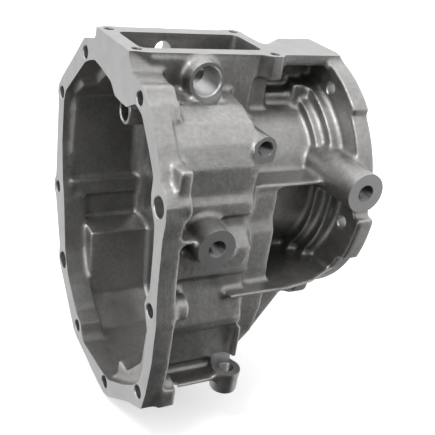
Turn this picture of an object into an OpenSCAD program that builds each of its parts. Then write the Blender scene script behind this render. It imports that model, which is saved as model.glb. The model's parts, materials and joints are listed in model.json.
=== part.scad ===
// Rear case of a manual gearbox, with the fifth-speed gear set that runs inside it.
// Millimetres. +X runs from the open front flange to the rear flange, +Z is up.
// The part's origin is where the output shaft's axis meets the rear flange's machined
// face. The modules measure x from the front flange's face instead, and placed() moves
// what they draw back by the case's length.

/* [Case] */
// Distance from the front flange face to the rear flange face
case_len = 194; // [194:1:200]
// Thickness of the front flange
front_t = 16; // [15:0.5:17]
// Thickness of the cast walls
wall = 6; // [5:0.5:6.5]
// Height of the shift opening's machined face above the shaft axis
tower_top = 110; // [109:0.5:112]
// Outer radius of the rear flange
rim_r = 110; // [108:1:112]
// Outer radius of the neck between the gear chamber and the rear flange
neck_r = 68; // [67:0.5:70]

/* [Holes] */
// Radius of the front flange's bolt holes
front_hole_r = 5.5; // [5:0.25:6]
// Radius of the two ring-dowel seats in the front flange
dowel_r = 8; // [7:0.5:8.5]
// Radius of the rear flange's bolt holes
rear_hole_r = 5.25; // [4.5:0.25:6]
// Diameter of the circle that the rear flange's bolts lie on
rear_pcd = 190; // [188:1:192]
// Radius of the four screw holes round the shift opening
tower_hole_r = 3.4; // [3:0.2:4]
// Radius of the tapped holes in the side bosses
boss_hole_r = 6; // [5:0.25:6.5]
// Radius of the cross hole through the shift tower's walls
pin_hole_r = 11.5; // [10:0.5:12]

/* [Gears] */
// Twist of the countershaft gear's helical teeth across its width, in degrees
fifth_twist = 7; // [0:1:9]
// How far the synchroniser sleeve slides to lock the fifth gear
shift_travel = 8.5; // [8:0.1:8.5]

/* [Hidden] */

$fn = 48;
cut = 0.5;                    // how far a cutter runs past the face it opens
run = 0.05;                   // radial clearance of a running fit
cast_colour = [0.62, 0.62, 0.61];
steel_colour = [0.72, 0.73, 0.75];
dark_colour = [0.45, 0.46, 0.48];
brass_colour = [0.78, 0.62, 0.30];
rubber_colour = [0.10, 0.10, 0.11];
nylon_colour = [0.85, 0.82, 0.72];

/* ---- places on the case ---- */

// The front flange's bolts, as [y, z], how deep the boss behind each one runs, and how
// deep its hole is drilled.
front_bolts = [[59, 84], [109, 33], [102, -57], [74, -121], [24, -163],
    [-48, -174], [-111, -137], [-113, -61], [-106, 20.5], [-55, 83]];
front_depths = [24, 24, 24, 24, 24, 22, 27, 28, 21, 25];
hole_depths = [25, 25, 25, 25, 18, 18, 28, 29, 22, 26];
dowels = [3, 8];              // which of those bolts carry ring dowels
dowel_depth = 9;

// Front flange outline and the mouth of the gear chamber, as [y, z].
flange_pts = [[-27, 110], [38, 110], [40, 100], [64, 95], [88, 70], [112, 46],
    [118, 36], [116, 22], [109, -48], [112, -57], [106, -67], [86, -110], [85, -124],
    [76, -133], [32, -172], [22, -175], [-48, -185], [-58, -182], [-96, -158],
    [-120, -147], [-124, -130], [-127, -100], [-126, -66], [-123, -52], [-121, -38],
    [-118, 0], [-119.5, 14], [-118, 25], [-113, 33], [-104, 38], [-90, 62],
    [-72, 84], [-60, 91], [-34, 97]];
mouth_pts = [[-49, 77], [-34, 69], [-22, 69], [-10, 70], [0, 78], [24, 82.5],
    [37, 84], [47, 81], [58, 76], [99, 38], [102, 28], [99, -10], [90, -45],
    [83, -62], [70, -108], [58, -128], [30, -151], [16, -156], [11, -165], [5, -169],
    [-41, -168],
    [-56, -166], [-84, -150], [-102, -137], [-110, -128], [-114, -114],
    [-113, -78], [-106, -66], [-103, -60], [-109, -45], [-106, -13], [-103, 6],
    [-94, 17], [-92, 24], [-92, 38], [-80, 53], [-70, 64], [-62, 73]];
// Collar behind the flange on the far side, where the chamber's wall stands wider.
collar_pts = [[44, 92], [62, 88], [84, 66], [108, 43], [113, 30], [104, -48], [103, -66],
    [82, -110], [81, -124], [72, -131], [30, -170], [-40, -179], [-56, -150], [0, 0]];
collar_end = 24;
lip_depth = 9;                // how deep the mouth runs on the near side
sump_x = 20;                  // where the wider sump begins on the far side

// Gear chamber, and the lower step behind it, as [y, z].
chamber_pts = [[44, 84], [74, 62], [104, 36], [98, -46], [93, -88], [67, -94],
    [56, -150], [24, -175], [-46, -177], [-80, -146], [-98, -126], [-99.5, -97],
    [-106.5, -90], [-108, -84], [-101.5, -62], [-99.5, -56], [-99.5, -48], [-104, -43],
    [-104, -22], [-92, -9], [-90, 0], [-97, 3], [-97.5, 13], [-93.5, 20],
    [-97, 42], [-89, 59], [-76, 71], [-58, 78], [-33, 82]];
step_pts = [[50, 40], [70, 0], [66, -50], [50, -90], [32, -124], [0, -146],
    [-50, -152], [-74, -138], [-89.5, -113], [-96.6, -84], [-94.6, -40], [-94.6, -16],
    [-90, -6], [-90.5, 14], [-85, 20], [-56, 24], [-40, 50]];
chamber_end = 86;             // x of the back of the gear chamber
step_end = 112;               // x of the back of the step

// Shift opening's machined face and the tower under it, as [x, y].
tower_pts = [[0, -27], [14, -31], [112, -33], [120, -38], [131.5, -38],
    [132, 40], [124, 46], [112, 42], [22, 42], [10, 45], [0, 38]];
tower_wall_pts = [[3, -26], [18, -33], [108, -33], [108, -25.5], [127, -25.5],
    [127, 36], [10, 38], [3, 34]];
tower_mouth = [[13, -19], [121, 27]];
tower_screws = [[9, -21], [126, -30], [9, 35], [125, 38]];

// Side bosses along Y, each as [x, z, radius, y of the root, y of the face].
long_boss = [169, 27, 16.5, -50, -125];
low_boss = [43, -9, 15.5, -84, -123];
small_boss = [90.6, 54.5, 10, -50, -92];
pin_boss = [58.5, 92.5, 15, -20, -46];
far_hole = [54, 96, 7.5];     // [x, z, radius] of the hole in the tower's far wall
drain_boss = [81, -107, 11.5, -153, -133];
head_bore = [19, 47];         // [y, z] of the selector shaft's bore

rim_t = 15;
rim_x = case_len - rim_t;     // front face of the rear flange
pilot_r = 62;                 // register bore in the rear flange
pilot_depth = 16;
// Bolt places on the rear flange, in degrees from straight up towards -Y.
rear_angles = [for (i = [0 : 4]) 26.5 + 72 * i];

/* ---- gears and shafts ---- */

gear_m = 2.5;                 // module, measured across the teeth
fifth_teeth = 41;             // on the countershaft
driven_teeth = 25;            // on the output shaft
backlash = 0.12;
gear_x = 88;                  // front face of both fifth gears
gear_w = 16;
centre_dist = gear_m * (fifth_teeth + driven_teeth) / 2;
lay_angle = -115;             // where the countershaft lies, from +Y towards +Z
lay = centre_dist * [cos(lay_angle), sin(lay_angle)];

// Bearings, each as [x, width, bore radius, outer radius, balls, ball radius].
front_brg = [110, 17, 17.5, 36, 9, 5.5];
rear_brg = [150, 16, 15, 31, 9, 4.75];
lay_brg = [106, 12, 12.5, 23.5, 9, 3.9];

hub_x = [62, 80];
sleeve_x = [64, 78];
dogs = 36;                    // splines of the hub, the sleeve and the clutch teeth
dog_in = 35;
dog_out = 36.8;
cone_r = [30.2, 29.4];        // gear's friction cone, large and small end
journal_r = 17;
needle_r = 1.97;
needles = 20;

rail_yz = [-76, -22];
rail_r = 6;
post_x = [32, 49];            // the rail's front support
rail_boss_r = 9.7;            // hubs of the parts pinned to the rail
rail_x = [30, 99];
fork_x = [68, 74];            // groove of the sleeve that the fork runs in
fork_pin_x = 64;
head_pin_x = 53;
stop_x = 43;                  // where the stop ball sits over the rail

/* ---- helpers ---- */

function unit(v) = v / norm(v);
function inward(v) = [v[1], -v[0]];
// Moves each side of a clockwise outline inwards by d, keeping its corners sharp.
function inset(p, d) = [for (i = [0 : len(p) - 1])
    let (n = len(p), a = p[(i + n - 1) % n], b = p[i], c = p[(i + 1) % n],
        u = inward(unit(b - a)), v = inward(unit(c - b)), m = unit(u + v))
    b + m * d / max(0.6, m * u)];

// Stands a [y, z] outline up and runs it along X from x0 to x1.
module along_x(x0, x1) {
    translate([x0, 0, 0]) rotate([90, 0, 90]) linear_extrude(x1 - x0) children();
}
// A cylinder along X from x0 to x1, centred on [y, z]; r2 is the radius at x1.
module rod_x(x0, x1, r, at = [0, 0], r2 = undef) {
    translate([x0, at[0], at[1]]) rotate([0, 90, 0])
        cylinder(h = x1 - x0, r1 = r, r2 = r2 == undef ? r : r2);
}
// A cylinder along Y from y0 to y1, centred on [x, z].
module rod_y(y0, y1, r, at) {
    translate([at[0], y0, at[1]]) rotate([-90, 0, 0]) cylinder(h = y1 - y0, r = r);
}
// A cylinder along Z from z0 to z1, centred on [x, y].
module rod_z(z0, z1, r, at) {
    translate([at[0], at[1], z0]) cylinder(h = z1 - z0, r = r);
}
module ring_x(x0, x1, r_out, r_in, at = [0, 0]) {
    difference() {
        rod_x(x0, x1, r_out, at);
        rod_x(x0 - cut, x1 + cut, r_in, at);
    }
}
module block(low, high) {
    translate(low) cube(high - low);
}
// A slice of a circle of radius r, between two angles from +Z towards -Y.
module wedge(r, a0, a1) {
    big = r / cos((a1 - a0) / 4) + 1;
    intersection() {
        circle(r);
        polygon([[0, 0], for (a = [a0, (a0 + a1) / 2, a1]) big * [-sin(a), cos(a)]]);
    }
}

/* ---- the case ---- */

module bolt_bosses() {
    for (i = [0 : len(front_bolts) - 1])
        rod_x(1, front_depths[i], i == 8 ? 12.5 : 10.5, front_bolts[i]);
    rod_x(front_t + 1, front_depths[8], 13.4, front_bolts[8]);
    along_x(2, front_depths[9])
        polygon([[-27, 98], [-34, 97], [-60, 91], [-72, 83], [-77, 74], [-66, 66], [-30, 66]]);
    along_x(2, collar_end) polygon(collar_pts);
    block([10.7, -114, 32], [20.5, -90, 49.8]);
    block([12, -124, -147], [27, -104, -131]);
    block([3, -36, -189], [14, -12, -170]);
}

module tower() {
    translate([0, 0, tower_top - 12]) linear_extrude(12) polygon(tower_pts);
    translate([0, 0, 56]) linear_extrude(tower_top - 60) polygon(tower_wall_pts);
    block([0, -27, 80], [front_t, 38, tower_top]);
    translate([0, 0, 92]) linear_extrude(tower_top - 92)
        polygon([[112, -33], [120, -38], [131.5, -38], [131.5, -20], [112, -20]]);
    for (s = tower_screws)
        rod_z(tower_top - 20, tower_top, 8, s);
    rod_y(20, 44, far_hole[2] + 4, [far_hole[0], far_hole[1]]);
}

module rear_end() {
    rod_x(chamber_end - 2, rim_x + 1, neck_r);
    rod_x(161, rim_x + 1, 76);
    rod_x(rim_x - 10, rim_x + 1, 85.3);
    rod_x(rim_x, case_len, rim_r - 4.5);
    along_x(rim_x, case_len) {
        wedge(rim_r, -20, 45);
        wedge(rim_r + 4.5, 92, 113);
        wedge(rim_r, 112, 146);
        wedge(rim_r, 196, 318);
    }
    rod_x(rim_x, case_len, 14, 108 * [-sin(160), cos(160)]);
    translate([0, 0, 101]) linear_extrude(7)
        polygon([[126, -32], [rim_x + 12, -32], [rim_x + 12, 20], [160, 20], [134, -2],
            [126, -2]]);
    block([126, -8, 62], [rim_x + 1, -4, 102]);
}

module ribs() {
    block([80, -90, 20], [170, -50, 23]);
    block([80, 50, 20], [rim_x + 1, 84, 23]);
    translate([0, 0, -63]) linear_extrude(3)
        polygon([[70, -112], [124, -111], [152, -106], [rim_x + 1, -92],
            [rim_x + 1, 80], [100, 60], [70, 60]]);
    block([12, -112, -141], [74, -60, -138]);
    block([12, -118, -6.5], [42, -86, -3]);
    translate([0, -34, 0]) rotate([90, 0, 0]) linear_extrude(4)
        polygon([[100, -62], [rim_x + 1, -62], [rim_x + 1, -108], [145, -160],
            [100, -172], [80, -172]]);
    block([86, -106, -150], [90, -52, -96]);
    block([74, -66, -172], [90, -34, -140]);
    rod_x(100, 158, 6, [-14, 69.4]);
    rod_z(56, 83, 6, [160, -20]);
    rod_x(36, 104, 4.5, [-57, 77.5]);
    block([84, -58, 58], [104, -26, 77]);
    rod_y(-81, -50, 14.5, [91.5, 61]);
    rod_z(78, 99, 3, [37, -38]);
    rod_y(-60, -36, 3, [37, 79.5]);
    rod_y(-106, -90, 6, [64, -22]);
}

module case_body() {
    along_x(0, front_t) polygon(flange_pts);
    along_x(2, chamber_end) polygon(chamber_pts);
    along_x(chamber_end - 2, step_end) polygon(step_pts);
    bolt_bosses();
    tower();
    rear_end();
    ribs();
    for (b = [long_boss, low_boss, small_boss, pin_boss])
        rod_y(b[4], b[3], b[2], [b[0], b[1]]);
    block([small_boss[0] - 10, -92, small_boss[1] - 12],
        [small_boss[0] + 10, -60, small_boss[1]]);
    rod_z(drain_boss[3], drain_boss[4], drain_boss[2], [drain_boss[0], drain_boss[1]]);
    rod_z(drain_boss[4] - 3.5, drain_boss[4], drain_boss[2] + 0.8,
        [drain_boss[0], drain_boss[1]]);
    rod_x(step_end - 8, 124, 30, lay);
}

// The hollow of the chamber, the step and the neck, less the parts that stand in it.
module case_hollow() {
    along_x(-cut, lip_depth) polygon(mouth_pts);
    intersection() {
        along_x(1, sump_x + 1) polygon(mouth_pts);
        union() {
            block([0, -52, -200], [30, 120, -60]);
            block([0, -44, -60], [30, 80, 120]);
        }
    }
    difference() {
        union() {
            intersection() {
                along_x(lip_depth - 0.5, chamber_end - wall)
                    polygon(inset(chamber_pts, wall));
                union() {
                    block([0, -120, -150], [90, -40, 90]);
                    block([0, -41, -60], [90, 120, 90]);
                    block([sump_x, -120, -200], [90, 120, 120]);
                }
            }
            along_x(chamber_end - wall - 1, step_end - wall)
                polygon(inset(step_pts, wall));
            rod_x(chamber_end - wall - 1, step_end - wall, neck_r - wall);
            block([tower_mouth[0][0], tower_mouth[0][1], 72],
                [tower_mouth[1][0], tower_mouth[1][1], tower_top + cut]);
            block([tower_mouth[0][0], tower_mouth[0][1], 40],
                [chamber_end - wall, tower_mouth[1][1], 73]);
        }
        rod_x(22, 90, 12, head_bore);
        block([26, head_bore[0] - 4, head_bore[1]], [90, head_bore[0] + 4, 84]);
        rod_x(post_x[0], post_x[1], 13, rail_yz);
        block([post_x[0], -104, rail_yz[1] - 8],
            [post_x[1], rail_yz[0], rail_yz[1] + 8]);
        rod_z(rail_yz[1], rail_yz[1] + 27, 6, [stop_x, rail_yz[0]]);
        rod_x(chamber_end, step_end, 11, rail_yz);
        block([chamber_end, -94, rail_yz[1] - 8],
            [step_end, rail_yz[0], rail_yz[1] + 8]);
        block([lip_depth, 87, -60], [chamber_end, 100, -45.5]);
        translate([0, 0, -90]) linear_extrude(148)
            polygon([[71, 100], [71, 91.5], [75.5, 88], [79, 79], [90, 79], [90, 100]]);
    }
    rod_x(130, 146, neck_r - wall);
}

module case_bores() {
    for (i = [0 : len(front_bolts) - 1])
        rod_x(-cut, hole_depths[i], front_hole_r, front_bolts[i]);
    for (i = dowels)
        rod_x(-cut, dowel_depth, dowel_r, front_bolts[i]);
    for (a = rear_angles)
        rod_x(rim_x - cut, case_len + cut, rear_hole_r,
            rear_pcd / 2 * [-sin(a), cos(a)]);
    for (s = tower_screws)
        rod_z(tower_top - 17, tower_top + cut, tower_hole_r, s);
    for (b = [long_boss, low_boss])
        rod_y(b[4] - cut, b[4] + 30, boss_hole_r, [b[0], b[1]]);
    rod_y(small_boss[4] - cut, small_boss[4] + 24, boss_hole_r - 0.5,
        [small_boss[0], small_boss[1]]);
    rod_y(-47, 0, pin_hole_r, [pin_boss[0], pin_boss[1]]);
    rod_y(0, 45, far_hole[2], [far_hole[0], far_hole[1]]);
    rod_z(-154, -132, 5.25, [drain_boss[0], drain_boss[1]]);
    rod_x(21, 66, 8.5, head_bore);
    rod_x(106 - cut, 127, front_brg[3], [0, 0]);
    rod_x(106, 130 + cut, front_brg[3] - 4, [0, 0]);
    rod_x(107.8, 109.8, front_brg[3] + 2, [0, 0]);
    rod_x(146 - cut, 178, rear_brg[3] - 4, [0, 0]);
    rod_x(150, 178 + cut, rear_brg[3], [0, 0]);
    rod_x(166.2, 168.2, rear_brg[3] + 2, [0, 0]);
    rod_x(case_len - pilot_depth, case_len + cut, pilot_r, [0, 0]);
    rod_x(106 - cut, 119, lay_brg[3], lay);
    rod_x(post_x[0] - 1, post_x[1] + 1, rail_r + run, rail_yz);
    rod_x(84, 108.5, rail_r + run, rail_yz);
    rod_z(rail_yz[1], rail_yz[1] + 28, 3.1, [stop_x, rail_yz[0]]);
}

module main_case() {
    color(cast_colour) difference() {
        case_body();
        case_hollow();
        case_bores();
    }
}

/* ---- bearings ---- */

function ball_circle(b) = (b[2] + b[3]) / 2;

module ball_groove(b, at) {
    translate([b[0] + b[1] / 2, at[0], at[1]]) rotate([0, 90, 0])
        rotate_extrude() translate([ball_circle(b), 0]) circle(b[5] + run);
}
module outer_race(b, at = [0, 0]) {
    color(steel_colour) difference() {
        ring_x(b[0], b[0] + b[1], b[3], ball_circle(b) + b[5] * 0.55, at);
        ball_groove(b, at);
    }
}
module inner_race(b, at = [0, 0]) {
    color(steel_colour) difference() {
        ring_x(b[0], b[0] + b[1], ball_circle(b) - b[5] * 0.55, b[2], at);
        ball_groove(b, at);
    }
}
module balls(b, at = [0, 0], grow = 0) {
    for (i = [0 : b[4] - 1])
        translate([b[0] + b[1] / 2, at[0], at[1]]) rotate([i * 360 / b[4], 0, 0])
            translate([0, 0, ball_circle(b)]) sphere(b[5] + grow);
}
module ball_cage(b, at = [0, 0]) {
    mid = b[0] + b[1] / 2;
    color(brass_colour) difference() {
        ring_x(mid - b[5] * 1.2, mid + b[5] * 1.2, ball_circle(b) + b[5] * 0.35,
            ball_circle(b) - b[5] * 0.35, at);
        balls(b, at, run);
    }
}
// A sprung ring of rectangular section with a gap, at angle a from +Z.
module snap_ring(x0, x1, r_out, r_in, at = [0, 0], gap = 8, a = 0) {
    color(dark_colour) difference() {
        ring_x(x0, x1, r_out, r_in, at);
        translate([x0 - cut, at[0], at[1]]) rotate([a, 0, 0])
            translate([0, -gap / 2, 0]) cube([x1 - x0 + 2 * cut, gap, r_out + 2]);
    }
}

module front_bearing_outer_race() { outer_race(front_brg); }
module front_bearing_inner_race() { inner_race(front_brg); }
module front_bearing_cage() { ball_cage(front_brg); }
module front_bearing_balls() { color(steel_colour) balls(front_brg); }
module front_bearing_snap_ring() { snap_ring(108, 109.6, 37.6, 32.5, gap = 12); }
module rear_bearing_outer_race() { outer_race(rear_brg); }
module rear_bearing_inner_race() { inner_race(rear_brg); }
module rear_bearing_cage() { ball_cage(rear_brg); }
module rear_bearing_balls() { color(steel_colour) balls(rear_brg); }
module rear_bearing_snap_ring() { snap_ring(166.4, 168, 32.6, 27.5, gap = 10, a = 180); }
module counter_bearing_outer_race() { outer_race(lay_brg, lay); }
module counter_bearing_inner_race() { inner_race(lay_brg, lay); }
module counter_bearing_cage() { ball_cage(lay_brg, lay); }
module counter_bearing_balls() { color(steel_colour) balls(lay_brg, lay); }

/* ---- toothed parts ---- */

// Points of one gear tooth's right flank, from the root to the tip.
function flank(n, side) =
    let (rp = gear_m * n / 2, rb = rp * cos(20), half = 90 / n
        - backlash / rp * 90 / PI, inv_p = tan(20) * 180 / PI - 20)
    [for (r = [rp - 1.2 * gear_m, max(rb, rp - 0.75 * gear_m), rp, rp + 0.55 * gear_m,
            rp + gear_m])
        let (p = r > rb ? acos(rb / r) : 0, inv = tan(p) * 180 / PI - p,
            a = side * (half + inv_p - inv))
        r * [cos(a), sin(a)]];
function turn(v, a) = [v[0] * cos(a) - v[1] * sin(a), v[0] * sin(a) + v[1] * cos(a)];
function backwards(v) = [for (i = [len(v) - 1 : -1 : 0]) v[i]];
// Outline of a gear with a tooth pointing at angle 0.
function gear_pts(n) = [for (i = [0 : n - 1])
    each [for (p = concat(flank(n, -1), backwards(flank(n, 1)))) turn(p, i * 360 / n)]];
// Outline with n straight-sided splines; root and tip widths are parts of the pitch.
function spline_pts(n, r_in, r_out, root = 0.56, tip = 0.40) = [for (i = [0 : n - 1])
    each [for (p = [[r_in, -root], [r_out, -tip], [r_out, tip], [r_in, root]])
        p[0] * [cos((i + p[1] / 2) * 360 / n), sin((i + p[1] / 2) * 360 / n)]]];

module at_lay() {
    translate([0, lay[0], lay[1]]) children();
}
module helical_gear(n, twist, phase) {
    translate([gear_x, 0, 0]) rotate([90, 0, 90]) rotate(phase)
        linear_extrude(gear_w, twist = twist, slices = 4) polygon(gear_pts(n));
}

module fifth_driven_gear() {
    color(steel_colour) difference() {
        union() {
            helical_gear(driven_teeth, fifth_twist * fifth_teeth / driven_teeth, lay_angle);
            rod_x(gear_x, front_brg[0] - 0.1, 23);
        }
        rod_x(gear_x - cut, front_brg[0] + cut, 18);
    }
}

module fifth_counter_gear() {
    back = gear_x + gear_w;
    color(steel_colour) at_lay() difference() {
        union() {
            helical_gear(fifth_teeth, -fifth_twist,
                lay_angle + 180 + 180 / fifth_teeth);
            along_x(85.6, gear_x + 0.5) polygon(spline_pts(dogs, dog_in, dog_out));
            rod_x(85.2, gear_x + 0.5, 31.5);
            rod_x(80.4, 85, cone_r[1], r2 = cone_r[0]);
            rod_x(84.9, 85.3, cone_r[0]);
        }
        rod_x(80, back + cut, journal_r + 2 * needle_r + 2 * run);
        ring_x(back - 4, back + cut, 43, 27);
    }
}

module blocker_ring() {
    color(brass_colour) at_lay() difference() {
        union() {
            rod_x(80.6, 83, 34.5);
            along_x(82.8, 85) polygon(spline_pts(dogs, dog_in, dog_out, 0.40, 0.24));
        }
        rod_x(80.4, 85, cone_r[1] + 0.25, r2 = cone_r[0] + 0.25);
        rod_x(84.9, 85 + cut, cone_r[0] + 0.25);
        rod_x(80, 80.5, cone_r[1] + 0.3);
        for (a = [0, 120, 240])
            rotate([a, 0, 0]) block([80, -6, 32], [82.4, 6, 38]);
    }
}

module synchro_hub() {
    color(steel_colour) at_lay() difference() {
        union() {
            rod_x(hub_x[0], hub_x[1], 24);
            rod_x(67, 75, 32);
            ring_x(63, 79, 35.05, 31);
            along_x(63, 79) difference() {
                polygon(spline_pts(dogs, dog_in, dog_out));
                circle(33);
            }
        }
        rod_x(60, 81, journal_r);
        for (a = [0, 120, 240])
            rotate([a, 0, 0]) block([62, -4.6, 30], [80, 4.6, 38]);
        for (a = [60, 180, 300])
            rotate([a, 0, 0]) rod_x(66, 76, 2, [0, 27.5]);
    }
}

module synchro_sleeve() {
    color(steel_colour) at_lay() difference() {
        rod_x(sleeve_x[0], sleeve_x[1], 44);
        rod_x(63, 79, dog_in + 0.35);
        along_x(63, 79) polygon(spline_pts(dogs, dog_in + 0.2, dog_out + 0.3, 0.62, 0.47));
        ring_x(fork_x[0], fork_x[1], 45, 40);
        for (a = [0, 120, 240])
            rotate([a, 0, 0]) block([63, -4.6, 33], [79, 4.6, 37.5]);
    }
}

module synchro_keys() {
    color(dark_colour) at_lay() for (a = [0, 120, 240])
        rotate([a, 0, 0]) block([64, -4.3, 32.3], [78, 4.3, 37]);
}

// Two sprung wire rings inside the hub's rim, one on each side of its web.
module key_springs() {
    color(dark_colour) at_lay() for (x = [65.5, 76.5])
        translate([x, 0, 0]) rotate([0, 90, 0]) rotate_extrude(angle = 330)
            translate([29.9, 0]) circle(0.8);
}

module hub_snap_ring() {
    at_lay() snap_ring(60.4, 61.9, 20.5, 16.2, gap = 6);
}

module needle_cage() {
    r = journal_r + needle_r + run;
    color(steel_colour) at_lay() difference() {
        ring_x(81.5, 103.8, r + 1.2, r - 1.2);
        for (i = [0 : needles - 1])
            rotate([i * 360 / needles, 0, 0])
                rod_x(84, 101.5, needle_r + run, [0, r]);
    }
}

module needle_rollers() {
    r = journal_r + needle_r + run;
    color(steel_colour) at_lay() for (i = [0 : needles - 1])
        rotate([i * 360 / needles, 0, 0]) rod_x(84.1, 101.4, needle_r, [0, r]);
}

module thrust_washer() {
    color(brass_colour) at_lay() ring_x(104.4, 105.9, 21.5, 12.55);
}

module countershaft() {
    color(steel_colour) at_lay() difference() {
        union() {
            rod_x(52, 58, 14);
            along_x(58, 60.4) polygon(spline_pts(24, 15.2, 16.8));
            rod_x(58, 104.4, 15.2);
            rod_x(61.9, 104.4, journal_r);
            rod_x(104.3, 118, lay_brg[2]);
        }
        rod_x(50, 70, 5);
        rod_x(50, 53.5, 7, r2 = 5);
        rod_x(112, 119, 3.5);
    }
}

module output_shaft() {
    color(steel_colour) difference() {
        union() {
            rod_x(74, 86, 13);
            rod_x(84, 85.9, 16.2);
            rod_x(87.6, front_brg[0], 18);
            rod_x(85, 88, 16.4);
            rod_x(109, 129, front_brg[2]);
            rod_x(128, rear_brg[0], 16);
            rod_x(149, 177.6, rear_brg[2]);
        }
        rod_x(73, 100, 6);
        rod_x(73, 76, 8, r2 = 6);
        along_x(150, 178) polygon(spline_pts(20, 9.4, 10.8));
        rod_x(175.6, 177.6 + cut, 10.3, r2 = 12.8);
    }
}

module speedometer_gear() {
    color(nylon_colour) translate([132, 0, 0]) rotate([90, 0, 90]) difference() {
        linear_extrude(13, twist = 40, slices = 4) polygon(spline_pts(15, 20, 22.4, 0.6, 0.3));
        translate([0, 0, -cut]) cylinder(h = 14, r = 16);
    }
}

module gear_snap_ring() {
    snap_ring(86, 87.5, 21, 16.4, gap = 6, a = 90);
}

/* ---- oil seal ---- */

module oil_seal_case() {
    color(dark_colour) union() {
        ring_x(169.5, 177, 31, 29.4);
        ring_x(169.5, 171, 30.5, 22);
    }
}
module oil_seal_lip() {
    color(rubber_colour) union() {
        difference() {
            rod_x(171, 176.5, 29.4);
            rod_x(172.5, 177, 20.6);
            rod_x(170, 178, 17);
        }
        ring_x(171, 173.4, 17.5, rear_brg[2] + run);
        difference() {
            rod_x(173, 176, 17.6);
            rod_x(172.5, 176.5, rear_brg[2] + run);
            seal_groove();
        }
    }
}
module seal_groove(grow = 0.05) {
    translate([174.5, 0, 0]) rotate([0, 90, 0]) rotate_extrude()
        translate([18.1, 0]) circle(0.9 + grow);
}
module oil_seal_spring() {
    color(steel_colour) seal_groove(0);
}

/* ---- shift parts ---- */

module shift_rail() {
    color(steel_colour) difference() {
        rod_x(rail_x[0], rail_x[1], rail_r, rail_yz);
        block([stop_x - shift_travel - 3.1, rail_yz[0] - 8, rail_yz[1] + 4.5],
            [stop_x + 3.1, rail_yz[0] + 8, rail_yz[1] + 8]);
        pin_hole(fork_pin_x);
        pin_hole(head_pin_x);
    }
}

// A hole across the rail for a spring pin.
module pin_hole(x) {
    rod_z(rail_yz[1] - 14, rail_yz[1] + 16, 2, [x, rail_yz[0]]);
}
module spring_pin(x) {
    color(dark_colour) difference() {
        rod_z(rail_yz[1] - 9.4, rail_yz[1] + 9.4, 2, [x, rail_yz[0]]);
        rod_z(rail_yz[1] - 10, rail_yz[1] + 10, 1, [x, rail_yz[0]]);
    }
}

module shift_fork() {
    arm = lay - rail_yz;
    reach = norm(arm);
    aim = atan2(arm[1], arm[0]);
    color(cast_colour) difference() {
        union() {
            rod_x(57, 71, rail_boss_r, rail_yz);
            translate([0, rail_yz[0], rail_yz[1]]) rotate([aim, 0, 0])
                block([fork_x[0] - 1.5, 6.5, -9], [fork_x[1] + 1.5, reach - 45.3, 9]);
            at_lay() rotate([aim, 0, 0]) difference() {
                ring_x(fork_x[0] - 1.5, fork_x[1] + 1.5, 53, 45);
                block([60, -20, -60], [90, 60, 60]);
            }
            at_lay() rotate([aim, 0, 0]) difference() {
                ring_x(fork_x[0] + 0.2, fork_x[1] - 0.2, 46, 40.3);
                block([60, -12, -60], [90, 60, 60]);
            }
        }
        rod_x(56, 80, rail_r, rail_yz);
        pin_hole(fork_pin_x);
    }
}

module fork_pin() { spring_pin(fork_pin_x); }
module head_pin() { spring_pin(head_pin_x); }

// The jaw that the selector's finger pushes the rail by.
module shift_head() {
    color(cast_colour) difference() {
        union() {
            rod_x(49.5, 56.5, rail_boss_r, rail_yz);
            along_x(49.5, 56.5)
                polygon([[-81, -14], [-66, -25], [-56, -12], [-47, 14], [-66, 20],
                    [-78, 0]]);
        }
        rod_x(49, 57, rail_r, rail_yz);
        pin_hole(head_pin_x);
        block([49, -62, 5], [57, -55, 30]);
    }
}

module stop_ball() {
    color(steel_colour) translate([stop_x, rail_yz[0], rail_yz[1] + 7.5]) sphere(2.95);
}

module stop_spring() {
    turns = 5;
    color(steel_colour) translate([stop_x, rail_yz[0], rail_yz[1] + 10.8])
        linear_extrude(10.3, twist = -360 * turns, slices = 40, $fn = 16) difference() {
            wedge(2.7, 0, 130);
            circle(1.8);
        }
}

module stop_plug() {
    color(dark_colour) difference() {
        rod_z(rail_yz[1] + 21.3, rail_yz[1] + 27, 3.1, [stop_x, rail_yz[0]]);
        translate([stop_x, rail_yz[0], rail_yz[1] + 25])
            cylinder(h = 3, r = 1.7, $fn = 6);
    }
}

/* ---- what is drawn ---- */

module placed() {
    translate([-case_len, 0, 0]) children();
}

placed() main_case();
placed() output_shaft();
placed() fifth_driven_gear();
placed() front_bearing_outer_race();
placed() front_bearing_inner_race();
placed() front_bearing_cage();
placed() front_bearing_balls();
placed() front_bearing_snap_ring();
placed() rear_bearing_outer_race();
placed() rear_bearing_inner_race();
placed() rear_bearing_cage();
placed() rear_bearing_balls();
placed() rear_bearing_snap_ring();
placed() speedometer_gear();
placed() gear_snap_ring();
placed() oil_seal_case();
placed() oil_seal_lip();
placed() oil_seal_spring();
placed() countershaft();
placed() fifth_counter_gear();
placed() needle_cage();
placed() needle_rollers();
placed() blocker_ring();
placed() synchro_hub();
placed() synchro_sleeve();
placed() synchro_keys();
placed() key_springs();
placed() hub_snap_ring();
placed() thrust_washer();
placed() counter_bearing_outer_race();
placed() counter_bearing_inner_race();
placed() counter_bearing_cage();
placed() counter_bearing_balls();
placed() shift_rail();
placed() shift_fork();
placed() fork_pin();
placed() shift_head();
placed() head_pin();
placed() stop_ball();
placed() stop_spring();
placed() stop_plug();
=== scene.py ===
import json
import math

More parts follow.
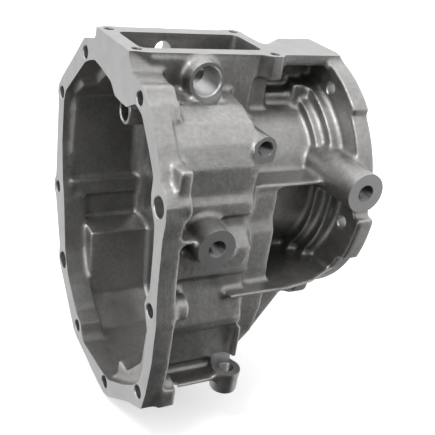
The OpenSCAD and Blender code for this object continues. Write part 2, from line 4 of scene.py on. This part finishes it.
import bpy
import numpy as np
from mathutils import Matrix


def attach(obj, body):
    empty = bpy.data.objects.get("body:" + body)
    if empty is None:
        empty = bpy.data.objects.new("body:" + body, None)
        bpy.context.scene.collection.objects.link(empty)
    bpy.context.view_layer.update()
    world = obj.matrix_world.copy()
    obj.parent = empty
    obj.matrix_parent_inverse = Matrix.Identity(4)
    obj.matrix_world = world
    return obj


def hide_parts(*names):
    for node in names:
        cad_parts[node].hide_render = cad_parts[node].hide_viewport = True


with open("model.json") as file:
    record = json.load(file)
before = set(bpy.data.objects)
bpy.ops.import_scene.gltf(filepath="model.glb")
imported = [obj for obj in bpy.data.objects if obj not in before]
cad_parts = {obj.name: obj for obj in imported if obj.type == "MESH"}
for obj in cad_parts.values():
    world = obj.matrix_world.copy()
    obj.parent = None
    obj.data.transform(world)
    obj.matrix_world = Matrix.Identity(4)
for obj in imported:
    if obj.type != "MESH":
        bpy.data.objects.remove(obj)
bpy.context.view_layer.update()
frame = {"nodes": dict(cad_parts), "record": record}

import openvdb as vdb
from mathutils import Matrix, Vector

# The case is worked on in millimetres, with x measured from the front flange's face,
# and put back into the row's frame (metres, x from the rear flange's face) at the end.
CASE_LEN = 194.0
TOP = 110.0
RIM_X = 179.0
VOX = 1.0
FILLET = 4.0          # radius of the casting's inside corners
ROUND = 0.9           # radius of its outside edges, before the skin is relaxed
CASE_TRIS = 150000

FRONT_BOLTS = [(59, 84), (109, 33), (102, -57), (74, -121), (24, -163), (-48, -174),
               (-111, -137), (-113, -61), (-106, 20.5), (-55, 83)]
BOSS_ENDS = [24, 24, 24, 24, 24, 22, 27, 28, 21, 25]
HOLE_DEPTHS = [25, 25, 25, 25, 18, 18, 28, 29, 22, 26]
BOLT_R = 5.5
DOWELS = (3, 8)                       # the bolt holes that also have a dowel's seat
DOWEL_R, DOWEL_DEPTH = 8.0, 9.0
TOWER_SCREWS = [(9, -21), (126, -30), (9, 35), (125, 38)]
SCREW_DEPTH = 17
REAR_ANGLES = [math.radians(26.5 + 72 * i) for i in range(5)]
REAR_CIRCLE = 95.0
# x, z, boss radius, y of the face, hole radius, depth, thread pitch
SIDE_BOSSES = [(169, 27, 16.5, -125, 6.0, 30, 1.5), (43, -9, 15.5, -123, 6.0, 30, 1.5),
               (90.6, 54.5, 10.0, -92, 5.5, 24, 1.25)]
PIN_BOSS = (58.5, 92.5, 15.0, -46, 11.5)           # x, z, radius, face's y, hole radius
FAR_HOLE = (54, 96, 7.5)                           # x, z, radius
DRAIN = (81, -107, 11.5, -153, -133, 5.25)         # x, y, radius, low z, top z, hole radius
HEAD_BORE = (19, 47)                               # y, z
CENTRES = 82.5                                     # between the two shafts
LAY_ANGLE = math.radians(-115)
LAY = (CENTRES * math.cos(LAY_ANGLE), CENTRES * math.sin(LAY_ANGLE))
RAIL = (-76, -22)                                  # y, z
STOP_X = 43
GEAR_RELIEF = (54.35, 87.0, 104.7)                 # radius and x range clear of the gear


# ---- the casting's surface ----

def level_set(points, tris, quads, half):
    """Narrow-band signed distance to a closed mesh, on a grid of VOX millimetres."""
    sets = {}
    if len(tris):
        sets["triangles"] = np.ascontiguousarray(tris, np.uint32)
    if len(quads):
        sets["quads"] = np.ascontiguousarray(quads, np.uint32)
    return vdb.FloatGrid.createLevelSetFromPolygons(
        np.ascontiguousarray(points, np.float32),
        transform=vdb.createLinearTransform(VOX), halfWidth=half / VOX + 2, **sets)


class Field:
    """The signed distance on a dense block, so that stock can be added to it."""

    def __init__(self, points, tris, band=6.0):
        grid = level_set(points, tris, (), band)
        self.lo = np.floor((points.min(0) - 12) / VOX).astype(int)
        hi = np.ceil((points.max(0) + 12) / VOX).astype(int)
        self.far = band + 2 * VOX
        self.a = np.zeros(hi - self.lo + 1, np.float32)
        grid.copyToArray(self.a, ijk=tuple(int(v) for v in self.lo))
        self.axes = [(self.lo[k] + np.arange(self.a.shape[k])) * VOX for k in range(3)]

    def index(self, axis, value):
        return int(round(value / VOX)) - self.lo[axis]

    def box(self, low, high):
        return tuple(slice(max(0, self.index(k, low[k]) - 2), self.index(k, high[k]) + 3)
                     for k in range(3))

    def plug(self, axis, centre, radius, start, end):
        """Adds a solid cylinder along axis, to be drilled out again later."""
        others = [k for k in range(3) if k != axis]
        low, high = [0, 0, 0], [0, 0, 0]
        low[axis], high[axis] = start, end
        for k, c in zip(others, centre):
            low[k], high[k] = c - radius, c + radius
        s = self.box(low, high)
        grids = np.meshgrid(*[self.axes[k][s[k]] for k in range(3)], indexing="ij")
        d = np.hypot(grids[others[0]] - centre[0], grids[others[1]] - centre[1]) - radius
        d = np.maximum(d, np.maximum(start - grids[axis], grids[axis] - end))
        self.a[s] = np.minimum(self.a[s], d)

    def extend(self, axis, face, outward, stock=4.0, inset=2.0, where=None):
        """Carries the section just inside a machined face past that face by stock."""
        i = self.index(axis, face - outward * inset)
        j = self.index(axis, face + outward * (stock + 3))
        cut = [slice(None)] * 3
        section = [slice(None)] * 3
        section[axis] = slice(i, i + 1)
        cut[axis] = slice(i, j + 1) if outward > 0 else slice(j, i + 1)
        section, cut = tuple(section), tuple(cut)
        along = self.axes[axis][cut[axis]]
        end = outward * along - outward * face - stock
        shape = [1, 1, 1]
        shape[axis] = len(along)
        new = np.maximum(self.a[section], end.reshape(shape).astype(np.float32))
        keep = self.a[cut]
        mask = np.ones([1, 1, 1], bool) if where is None else where(self)
        self.a[cut] = np.where(mask, new, keep)

    def grid(self):
        g = vdb.FloatGrid(background=float(self.far))
        g.transform = vdb.createLinearTransform(VOX)
        g.copyFromArray(np.ascontiguousarray(self.a), ijk=tuple(int(v) for v in self.lo))
        return g


def rounded(grid):
    """Closes inside corners to FILLET and opens outside edges to ROUND."""
    p, t, q = grid.convertToPolygons(isovalue=0.0)
    p, t, q = level_set(p, t, q, FILLET).convertToPolygons(isovalue=FILLET)
    p, t, q = level_set(p, t, q, FILLET + ROUND).convertToPolygons(
        isovalue=-FILLET - ROUND)
    return level_set(p, t, q, ROUND).convertToPolygons(isovalue=ROUND)


# ---- meshes ----

def outwards(points, tris, quads):
    """The faces of a closed solid, turned so that they face outwards."""
    a, b, c = (points[tris[:, k]] for k in range(3))
    volume = np.einsum("ij,ij->", a, np.cross(b, c))
    a, b, c, d = (points[quads[:, k]] for k in range(4))
    volume += np.einsum("ij,ij->", a, np.cross(b, c) + np.cross(c, d))
    return (tris[:, ::-1], quads[:, ::-1]) if volume < 0 else (tris, quads)


def mesh_from(name, points, tris=(), quads=()):
    tris = np.asarray(tris, np.int64).reshape(-1, 3)
    quads = np.asarray(quads, np.int64).reshape(-1, 4)
    points = np.asarray(points, np.float64)
    me = bpy.data.meshes.new(name)
    me.vertices.add(len(points))
    me.vertices.foreach_set("co", points.astype(np.float32).ravel())
    loops = np.concatenate([tris.ravel(), quads.ravel()]).astype(np.int32)
    me.loops.add(len(loops))
    me.loops.foreach_set("vertex_index", loops)
    starts = np.concatenate([np.arange(len(tris)) * 3,
                             len(tris) * 3 + np.arange(len(quads)) * 4]).astype(np.int32)
    me.polygons.add(len(starts))
    me.polygons.foreach_set("loop_start", starts)
    me.update(calc_edges=True)
    me.validate()
    return me


def add(name, me):
    o = bpy.data.objects.new(name, me)
    bpy.context.scene.collection.objects.link(o)
    return o


def baked(o):
    """Applies o's modifiers."""
    dg = bpy.context.evaluated_depsgraph_get()
    me = bpy.data.meshes.new_from_object(o.evaluated_get(dg))
    o.modifiers.clear()
    o.data = me
    return o


class Cutter:
    """A set of separate closed solids, gathered to be cut out in one go."""

    def __init__(self):
        self.points, self.tris, self.quads, self.count = [], [], [], 0

    def rings(self, rings):
        """Rings of equal size, joined in order and capped at both ends."""
        n, m = len(rings[0]), len(rings)
        ends = [rings[0].mean(0)[None], rings[-1].mean(0)[None]]
        pts = np.concatenate(list(rings) + ends)
        k = np.arange(n)
        nxt = (k + 1) % n
        quads = [np.stack([i * n + k, i * n + nxt, (i + 1) * n + nxt, (i + 1) * n + k], 1)
                 for i in range(m - 1)]
        low = np.stack([np.full(n, m * n), nxt, k], 1)
        high = np.stack([np.full(n, m * n + 1), (m - 1) * n + k, (m - 1) * n + nxt], 1)
        tris, quads = outwards(pts, np.concatenate([low, high]), np.concatenate(quads))
        self.points.append(pts)
        self.quads.append(quads + self.count)
        self.tris.append(tris + self.count)
        self.count += len(pts)

    def lathe(self, origin, axis, profile, n=64):
        """A turned solid: profile is (distance along axis, radius) pairs."""
        o, u, v, w = self.basis(origin, axis)
        a = np.arange(n) * 2 * math.pi / n
        rim = np.cos(a)[:, None] * u + np.sin(a)[:, None] * v
        self.rings([o + t * w + r * rim for t, r in profile])

    def thread(self, origin, axis, r, depth, pitch, tooth, n=40):
        """A tapped hole going into the part against axis, with a chamfered mouth."""
        o, u, v, w = self.basis(origin, axis)
        a = np.arange(n) * 2 * math.pi / n
        rim = np.cos(a)[:, None] * u + np.sin(a)[:, None] * v
        mouth = r + tooth + 0.3
        rings = [o + 4 * w + mouth * rim, o + 0.02 * w + mouth * rim]
        for t in np.arange(0.35, depth - 0.6, pitch / 5):
            wave = np.abs(((t / pitch + a / (2 * math.pi)) % 1) * 2 - 1)
            rad = r + tooth * np.clip(wave * 1.3 - 0.15, 0, 1)
            rad = np.maximum(rad, mouth - t)
            rings.append(o - t * w + rad[:, None] * rim)
        rings += [o - (depth - 0.3) * w + r * rim, o - depth * w + (r - 0.4) * rim]
        self.rings(rings)

    def block(self, low, high):
        x0, y0, z0 = low
        x1, y1, z1 = high
        self.rings([np.array([(x, y0, z0), (x, y1, z0), (x, y1, z1), (x, y0, z1)], float)
                    for x in (x0, x1)])

    @staticmethod
    def basis(origin, axis):
        w = np.array(axis, float)
        u = np.array([0.0, 1.0, 0.0]) if abs(w[1]) < 0.5 else np.array([0.0, 0.0, 1.0])
        u -= w * (u @ w)
        return np.array(origin, float), u, np.cross(w, u), w

    def cut_from(self, o, material):
        me = mesh_from("cutter", np.concatenate(self.points), np.concatenate(self.tris),
                       np.concatenate(self.quads))
        me.materials.append(material)
        c = add("cutter", me)
        m = o.modifiers.new("cut", "BOOLEAN")
        m.operation, m.solver, m.object = "DIFFERENCE", "MANIFOLD", c
        m.material_mode = "TRANSFER"
        baked(o)
        bpy.data.objects.remove(c)


def rear_bolt(angle):
    """Where a bolt of the rear flange is, as (y, z)."""
    return -REAR_CIRCLE * math.sin(angle), REAR_CIRCLE * math.cos(angle)


def hole(r, depth, chamfer=0.8):
    """Profile of a drilled hole that goes against its axis, with a chamfered mouth."""
    return [(4, r + chamfer), (0.02, r + chamfer), (-chamfer, r), (-depth, r)]


def machine(o, material, shaded_hole_metal):
    """Faces, bores and holes, cut sharply into the rounded casting."""
    x, y, z = (1, 0, 0), (0, 1, 0), (0, 0, 1)
    back_x, back_y, back_z = (-1, 0, 0), (0, -1, 0), (0, 0, -1)
    faces = Cutter()
    faces.block((-30, -150, -210), (0, 140, 130))
    faces.block((CASE_LEN, -150, -210), (CASE_LEN + 30, 140, 130))
    faces.cut_from(o, material)
    faces = Cutter()
    faces.block((-40, -150, TOP), (CASE_LEN + 40, 140, TOP + 30))
    for bx, bz, r, face, *_ in SIDE_BOSSES + [PIN_BOSS]:
        faces.lathe((bx, face, bz), back_y, [(0, r + 0.7), (12, r + 0.7)])
    faces.lathe((DRAIN[0], DRAIN[1], DRAIN[4]), z, [(0, DRAIN[2] + 2), (9, DRAIN[2] + 2)])
    faces.cut_from(o, material)
    sx, sz, sr, face = SIDE_BOSSES[2][:4]
    foot = Cutter()
    foot.block((sx - sr - 0.5, face - 12, sz - 12.5), (sx + sr + 0.5, face, sz))
    foot.cut_from(o, material)

    holes = Cutter()
    for i, (by, bz) in enumerate(FRONT_BOLTS):
        through = HOLE_DEPTHS[i] > BOSS_ENDS[i]
        p = hole(BOLT_R, HOLE_DEPTHS[i] + (8 if through else 0))
        if i in DOWELS:
            p = hole(DOWEL_R, DOWEL_DEPTH) + [(-DOWEL_DEPTH, BOLT_R)] + p[-1:]
        holes.lathe((0, by, bz), back_x, p)
    for a in REAR_ANGLES:
        holes.lathe((CASE_LEN, *rear_bolt(a)), x,
                    [(4, 6.05), (0.02, 6.05), (-0.8, 5.25), (-14.2, 5.25), (-15.02, 6.05),
                     (-19, 6.05)])
    px, pz, _, face, pr = PIN_BOSS
    holes.lathe((px, face, pz), back_y, hole(pr, 34, 1.2), 80)
    holes.lathe((FAR_HOLE[0], 44, FAR_HOLE[1]), y, hole(FAR_HOLE[2], 24, 0.8))
    holes.lathe((22, *HEAD_BORE), back_x, hole(8.5, 44, 1.0))
    holes.lathe((0, 0, 0), x, [
        (103, 37), (105.98, 37), (107, 36), (107.8, 36), (107.8, 38), (109.8, 38),
        (109.8, 36), (127, 36), (127, 32), (135, 32)], 128)
    holes.lathe((0, 0, 0), x, [
        (140, 27), (150, 27), (150, 31), (166.2, 31), (166.2, 33), (168.2, 33),
        (168.2, 31), (177, 31), (178, 32), (178, 62), (193, 62), (194.02, 63),
        (200, 63)], 128)
    holes.lathe((0, *LAY), x, [(101, 24.5), (105.98, 24.5), (107, 23.5), (119, 23.5)], 96)
    holes.lathe((0, *RAIL), x, [(26, 6.85), (31.98, 6.85), (32.8, 6.05), (48.2, 6.05),
                                (49.02, 6.85), (53, 6.85)])
    holes.lathe((0, *RAIL), x, [(80, 6.85), (85.98, 6.85), (86.8, 6.05), (108.5, 6.05)])
    holes.cut_from(o, material)
    holes = Cutter()
    holes.lathe((STOP_X, RAIL[0], RAIL[1] + 27), z, [(5, 3.1), (-27, 3.1)], 32)
    relief, low, high = GEAR_RELIEF
    holes.lathe((0, *LAY), x, [(low, relief), (high, relief)], 160)
    holes.cut_from(o, material)
    holes = Cutter()
    for sx, sy in TOWER_SCREWS:
        holes.thread((sx, sy, TOP), z, 3.4, SCREW_DEPTH, 1.25, 0.6, 32)
    for bx, bz, r, face, hr, depth, pitch in SIDE_BOSSES:
        holes.thread((bx, face, bz), back_y, hr, depth, pitch, 0.8)
    holes.thread((DRAIN[0], DRAIN[1], DRAIN[4]), z, DRAIN[5], 24, 1.5, 0.7)
    # The tapped holes take the dark metal that paints shade into them.
    holes.cut_from(o, shaded_hole_metal)


def build_case(cad, cast, machined, shaded_hole_metal):
    me = cad.data
    me.calc_loop_triangles()
    pts = np.zeros(len(me.vertices) * 3, np.float32)
    me.vertices.foreach_get("co", pts)
    tri = np.zeros(len(me.loop_triangles) * 3, np.int32)
    me.loop_triangles.foreach_get("vertices", tri)
    pts = pts.reshape(-1, 3).astype(float) * 1000 + [CASE_LEN, 0, 0]
    f = Field(pts, tri.reshape(-1, 3))

    for i, (by, bz) in enumerate(FRONT_BOLTS):
        f.plug(0, (by, bz), 8.4 if i in DOWELS else 6.2, 0, DOWEL_DEPTH)
        f.plug(0, (by, bz), 6.2, 0, min(BOSS_ENDS[i], HOLE_DEPTHS[i]))
    for a in REAR_ANGLES:
        f.plug(0, rear_bolt(a), 6.0, RIM_X, CASE_LEN)
    for sx, sy in TOWER_SCREWS:
        f.plug(2, (sx, sy), 4.0, TOP - SCREW_DEPTH, TOP)
    for bx, bz, r, face, hr, depth, _ in SIDE_BOSSES:
        f.plug(1, (bx, bz), hr + 0.8, face, face + depth)
        f.plug(1, (bx, bz), r, face - 4, face + 2)
    f.plug(1, PIN_BOSS[:2], 12.4, PIN_BOSS[3], -19)
    f.plug(1, PIN_BOSS[:2], PIN_BOSS[2], PIN_BOSS[3] - 4, PIN_BOSS[3] + 2)
    f.plug(1, FAR_HOLE[:2], 8.4, 27, 44)
    f.plug(2, DRAIN[:2], DRAIN[5] + 0.8, DRAIN[3], DRAIN[4])
    f.plug(2, DRAIN[:2], DRAIN[2], DRAIN[4] - 2, DRAIN[4] + 4)
    f.plug(0, HEAD_BORE, 9.2, 22, 66)
    f.plug(0, (0, 0), 38.6, 106, 130)
    f.plug(0, (0, 0), 33.6, 146, 178)
    f.plug(0, (0, 0), 63, 178, CASE_LEN)
    f.plug(0, LAY, 24.3, 106, 119)
    f.plug(0, RAIL, 6.8, 32, 49)
    f.plug(0, RAIL, 6.8, 86, 108.5)
    f.plug(2, (STOP_X, RAIL[0]), 3.8, RAIL[1], RAIL[1] + 27)
    f.extend(0, 0.0, -1)
    f.extend(0, CASE_LEN, 1)
    f.extend(2, TOP, 1)

    p, t, q = rounded(f.grid())
    t, q = outwards(p, t.astype(int), q.astype(int))
    case = add("case_casting", mesh_from("case_casting", p, t, q))
    case.data.materials.append(cast)
    count = len(t) + 2 * len(q)
    if count > CASE_TRIS:
        m = case.modifiers.new("thin", "DECIMATE")
        m.ratio = CASE_TRIS / count
    m = case.modifiers.new("relax", "SMOOTH")
    m.factor, m.iterations = 0.5, 2
    baked(case)
    machine(case, machined, shaded_hole_metal)
    to_row = Matrix.Translation((-CASE_LEN / 1000, 0, 0)) @ Matrix.Scale(0.001, 4)
    case.data.transform(to_row)
    smooth(case, 32)
    return case


def smooth(o, angle):
    me = o.data
    me.polygons.foreach_set("use_smooth", [True] * len(me.polygons))
    me.set_sharp_from_angle(angle=math.radians(angle))


# ---- materials ----

class Nodes:
    """A node tree of a new material or world, with short ways to add and join nodes."""

    def __init__(self, owner, coords="Object"):
        owner.use_nodes = True
        self.owner, self.tree = owner, owner.node_tree
        self.shader = self.tree.nodes.get("Principled BSDF")
        self.coords = self.add("ShaderNodeTexCoord").outputs[coords]

    def add(self, kind, **values):
        n = self.tree.nodes.new(kind)
        for k, v in values.items():
            setattr(n, k, v)
        return n

    def link(self, a, b):
        self.tree.links.new(a, b)

    def noise(self, scale, detail=3.0, rough=0.5, stretch=(1, 1, 1)):
        m = self.add("ShaderNodeMapping")
        m.inputs["Scale"].default_value = stretch
        self.link(self.coords, m.inputs["Vector"])
        n = self.add("ShaderNodeTexNoise")
        n.inputs["Scale"].default_value = scale
        n.inputs["Detail"].default_value = detail
        n.inputs["Roughness"].default_value = rough
        self.link(m.outputs["Vector"], n.inputs["Vector"])
        return n.outputs["Fac"]

    def spread(self, value, low, high, start=0.3, end=0.7):
        n = self.add("ShaderNodeMapRange")
        n.inputs["From Min"].default_value = start
        n.inputs["From Max"].default_value = end
        n.inputs["To Min"].default_value = low
        n.inputs["To Max"].default_value = high
        self.link(value, n.inputs["Value"])
        return n.outputs["Result"]

    def mix(self, value, a, b):
        n = self.add("ShaderNodeMix", data_type="RGBA")
        self.link(value, n.inputs["Factor"])
        for k, c in ((6, a), (7, b)):
            if hasattr(c, "links"):
                self.link(c, n.inputs[k])
            else:
                n.inputs[k].default_value = (*c, 1)
        return n.outputs[2]

    def math(self, operation, a, b):
        n = self.add("ShaderNodeMath", operation=operation)
        for socket, v in zip(n.inputs, (a, b)):
            if hasattr(v, "links"):
                self.link(v, socket)
            else:
                socket.default_value = v
        return n.outputs[0]

    def product(self, *colours):
        """The product of colours or numbers, channel by channel."""
        so_far = colours[0]
        for c in colours[1:]:
            n = self.add("ShaderNodeVectorMath", operation="MULTIPLY")
            self.link(so_far, n.inputs[0])
            self.link(c, n.inputs[1])
            so_far = n.outputs[0]
        return so_far

    def openness(self, distance):
        """1 on open faces, down to 0 deep in recesses about as wide as distance."""
        n = self.add("ShaderNodeAmbientOcclusion", samples=6, only_local=True)
        n.inputs["Distance"].default_value = distance
        return n.outputs["AO"]

    def bump(self, height, distance, strength, under=None):
        n = self.add("ShaderNodeBump")
        n.inputs["Distance"].default_value = distance
        n.inputs["Strength"].default_value = strength
        self.link(height, n.inputs["Height"])
        if under is not None:
            self.link(under, n.inputs["Normal"])
        return n.outputs["Normal"]


def material(name):
    return Nodes(bpy.data.materials.new(name))


def cast_metal(name, light, dark, rough=(0.42, 0.58), painted_recess_shade=1.0):
    """As-cast metal: blotches, a mottled and grainy skin, a painted highlight on sharp
    edges, painted shade in creases and recesses.
    """
    n = material(name)
    blotch = n.spread(n.noise(22, 4, 0.6), 0, 1, 0.35, 0.68)
    mottle = n.noise(260, 4, 0.65)
    stain = n.spread(n.noise(60, 3, 0.6), 0, 1, 0.4, 0.7)
    edge = n.add("ShaderNodeNewGeometry").outputs["Pointiness"]
    tone = n.product(
        n.mix(blotch, light, dark),
        n.mix(stain, (1, 1, 1), (1.0, 0.975, 0.945)),
        n.spread(mottle, 0.82, 1.14, 0.25, 0.75),
        # Painted highlight: sharp outer edges are made up to half again lighter.
        n.spread(edge, 1.0, 1.5, 0.515, 0.60),
        # Painted shade: inside creases are made up to half darker.
        n.spread(edge, 0.5, 1.0, 0.42, 0.49),
        # Painted shade: ambient occlusion darkens the colour in deep recesses, down to the
        # given factor.
        n.spread(n.openness(0.045), painted_recess_shade, 1.0, 0.25, 0.85))
    n.link(tone, n.shader.inputs["Base Color"])
    n.shader.inputs["Metallic"].default_value = 0.9
    n.link(n.spread(n.noise(120, 4, 0.6), *rough), n.shader.inputs["Roughness"])
    skin = n.bump(n.noise(60, 3, 0.5), 0.002, 0.2)
    skin = n.bump(mottle, 0.001, 0.22, skin)
    n.link(n.bump(n.noise(1100, 3, 0.6), 0.0003, 0.55, skin), n.shader.inputs["Normal"])
    return n.owner


def turned_metal(name, light, dark, rough=(0.22, 0.36), stretch=(1, 1, 1)):
    """Machined metal: fine tool marks and a little variation in polish."""
    n = material(name)
    marks = n.noise(900, 2, 0.5, stretch)
    n.link(n.mix(n.spread(n.noise(60, 3, 0.5), 0, 1), light, dark),
           n.shader.inputs["Base Color"])
    n.shader.inputs["Metallic"].default_value = 1.0
    n.link(n.spread(marks, *rough), n.shader.inputs["Roughness"])
    n.link(n.bump(marks, 0.0002, 0.25), n.shader.inputs["Normal"])
    return n.owner


def soft_stuff(name, light, dark, rough=(0.5, 0.7), grain=600):
    """Rubber or plastic: matt, with a faint grain."""
    n = material(name)
    n.link(n.mix(n.spread(n.noise(80, 3, 0.5), 0, 1), light, dark),
           n.shader.inputs["Base Color"])
    n.link(n.spread(n.noise(grain, 2, 0.5), *rough), n.shader.inputs["Roughness"])
    n.link(n.bump(n.noise(grain, 2, 0.5), 0.0002, 0.3), n.shader.inputs["Normal"])
    return n.owner


# The last figure is how dark the painted shade in deep recesses gets.
CAST = cast_metal("cast_aluminium", (0.49, 0.487, 0.482), (0.43, 0.427, 0.422),
                  (0.30, 0.44), 0.45)
MACHINED = turned_metal("machined_aluminium", (0.58, 0.58, 0.575), (0.51, 0.51, 0.51),
                        (0.30, 0.42), (1, 1, 6))
# Painted shade: a dark copy of the machined metal for the tapped holes, so that they look
# shaded inside.
SHADED_HOLE_METAL = turned_metal("threaded_aluminium_painted_shade", (0.27, 0.27, 0.265), (0.21, 0.21, 0.21),
                     (0.28, 0.40))
FINISHES = {
    "cast_fork": cast_metal("cast_fork", (0.40, 0.40, 0.39), (0.33, 0.33, 0.33)),
    "gear_steel": turned_metal("gear_steel", (0.42, 0.43, 0.45), (0.34, 0.35, 0.37)),
    "bearing_steel": turned_metal("bearing_steel", (0.62, 0.63, 0.65), (0.54, 0.55, 0.57),
                                  (0.12, 0.22)),
    "spring_steel": turned_metal("spring_steel", (0.16, 0.16, 0.17), (0.11, 0.11, 0.12),
                                 (0.30, 0.45)),
    "brass": turned_metal("brass", (0.62, 0.42, 0.16), (0.53, 0.35, 0.12), (0.25, 0.38)),
    "seal_rubber": soft_stuff("seal_rubber", (0.020, 0.020, 0.021), (0.030, 0.030, 0.032)),
    "nylon": soft_stuff("nylon", (0.72, 0.68, 0.55), (0.64, 0.60, 0.48), (0.38, 0.52)),
}


# ---- the object ----

case = build_case(frame["nodes"]["main_case"], CAST, MACHINED, SHADED_HOLE_METAL)
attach(case, "case")
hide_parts("main_case")

for part in frame["record"]["subparts"]:
    node, slot = part["node"], part["material_slot"]
    if slot in FINISHES:
        o = frame["nodes"][node]
        o.data.materials.clear()
        o.data.materials.append(FINISHES[slot])
        smooth(o, 30)


# ---- floor, light and camera ----

def stage_mesh(name, points, faces, mat):
    me = bpy.data.meshes.new(name)
    me.from_pydata(points, [], faces)
    me.materials.append(mat)
    o = add(name, me)
    return o


floor_mat = soft_stuff("floor", (0.86, 0.86, 0.86), (0.84, 0.84, 0.84), (0.6, 0.7), 40)
floor_shader = floor_mat.node_tree.nodes["Principled BSDF"]
floor_shader.inputs["Emission Color"].default_value = (1, 1, 1, 1)
floor_shader.inputs["Emission Strength"].default_value = 0.5
FLOOR_Z = -0.1892
FLOOR_HALF = 6
floor = stage_mesh("floor", [(x * FLOOR_HALF, y * FLOOR_HALF, FLOOR_Z) for x, y in
                             ((-1, -1), (1, -1), (1, 1), (-1, 1))],
                   [(0, 1, 2, 3)], floor_mat)
floor.visible_diffuse = floor.visible_glossy = False


def studio(over_front=0.9, over_back=1.35, behind=0.8, right=0.8, left=0.2, base=0.04):
    """Soft light from above, behind and the right; darker in front, white to the camera."""
    world = bpy.data.worlds.new("studio")
    bpy.context.scene.world = world
    n = Nodes(world, "Generated")
    split = n.add("ShaderNodeSeparateXYZ")
    n.link(n.coords, split.inputs[0])
    x, y, z = split.outputs
    light = n.math("MULTIPLY", n.spread(z, 0, 1, 0.12, 0.5),
                   n.spread(y, over_front, over_back, -0.3, 0.6))
    for value, strength, start, end in ((y, behind, -0.1, 0.6), (x, right, 0.52, 0.70),
                                        (x, left, -0.6, -0.95)):
        light = n.math("MAXIMUM", light, n.spread(value, 0, strength, start, end))
    shade = n.tree.nodes["Background"]
    shade.inputs["Color"].default_value = (1, 1, 1, 1)
    n.link(n.math("ADD", light, base), shade.inputs["Strength"])
    white = n.add("ShaderNodeBackground")
    white.inputs["Color"].default_value = (1, 1, 1, 1)
    pick = n.add("ShaderNodeMixShader")
    n.link(n.add("ShaderNodeLightPath").outputs["Is Camera Ray"], pick.inputs[0])
    n.link(shade.outputs[0], pick.inputs[1])
    n.link(white.outputs[0], pick.inputs[2])
    n.link(pick.outputs[0], n.tree.nodes["World Output"].inputs["Surface"])


studio()


def lamp(name, place, aim, size, power):
    light = bpy.data.lights.new(name, "AREA")
    light.shape, light.size, light.energy = "DISK", size, power
    o = bpy.data.objects.new(name, light)
    bpy.context.scene.collection.objects.link(o)
    o.location = place
    o.rotation_mode = "QUATERNION"
    o.rotation_quaternion = (Vector(aim) - Vector(place)).to_track_quat("-Z", "Y")


LAMP_SIZE = 0.35
lamp("key", (-0.9, -0.4, 1.3), (-0.1, 0, 0), LAMP_SIZE, 5)
lamp("mouth", (-1.1, -0.5, 0.25), (-0.15, 0.02, -0.05), LAMP_SIZE, 1.2)

# The camera solved from the photograph: its focal length is 800 of the picture's 435
# pixels, and its place and axes are in the row's frame.
SENSOR = 36
FOCAL_PX, PICTURE_PX = 800, 435
cam_data = bpy.data.cameras.new("camera")
cam_data.sensor_width = SENSOR
cam_data.lens = FOCAL_PX / PICTURE_PX * SENSOR
cam = bpy.data.objects.new("camera", cam_data)
bpy.context.scene.collection.objects.link(cam)
right, up, behind = (Vector(v) for v in (
    (0.8711, -0.4679, 0.1490), (0.0841, 0.4412, 0.8935), (-0.4838, -0.7658, 0.4237)))
cam.matrix_world = Matrix((
    (right.x, up.x, behind.x, -0.2358 - CASE_LEN / 1000),
    (right.y, up.y, behind.y, -0.5575),
    (right.z, up.z, behind.z, 0.2579),
    (0, 0, 0, 1)))
bpy.context.scene.camera = cam
bpy.context.scene.view_settings.view_transform = "Standard"
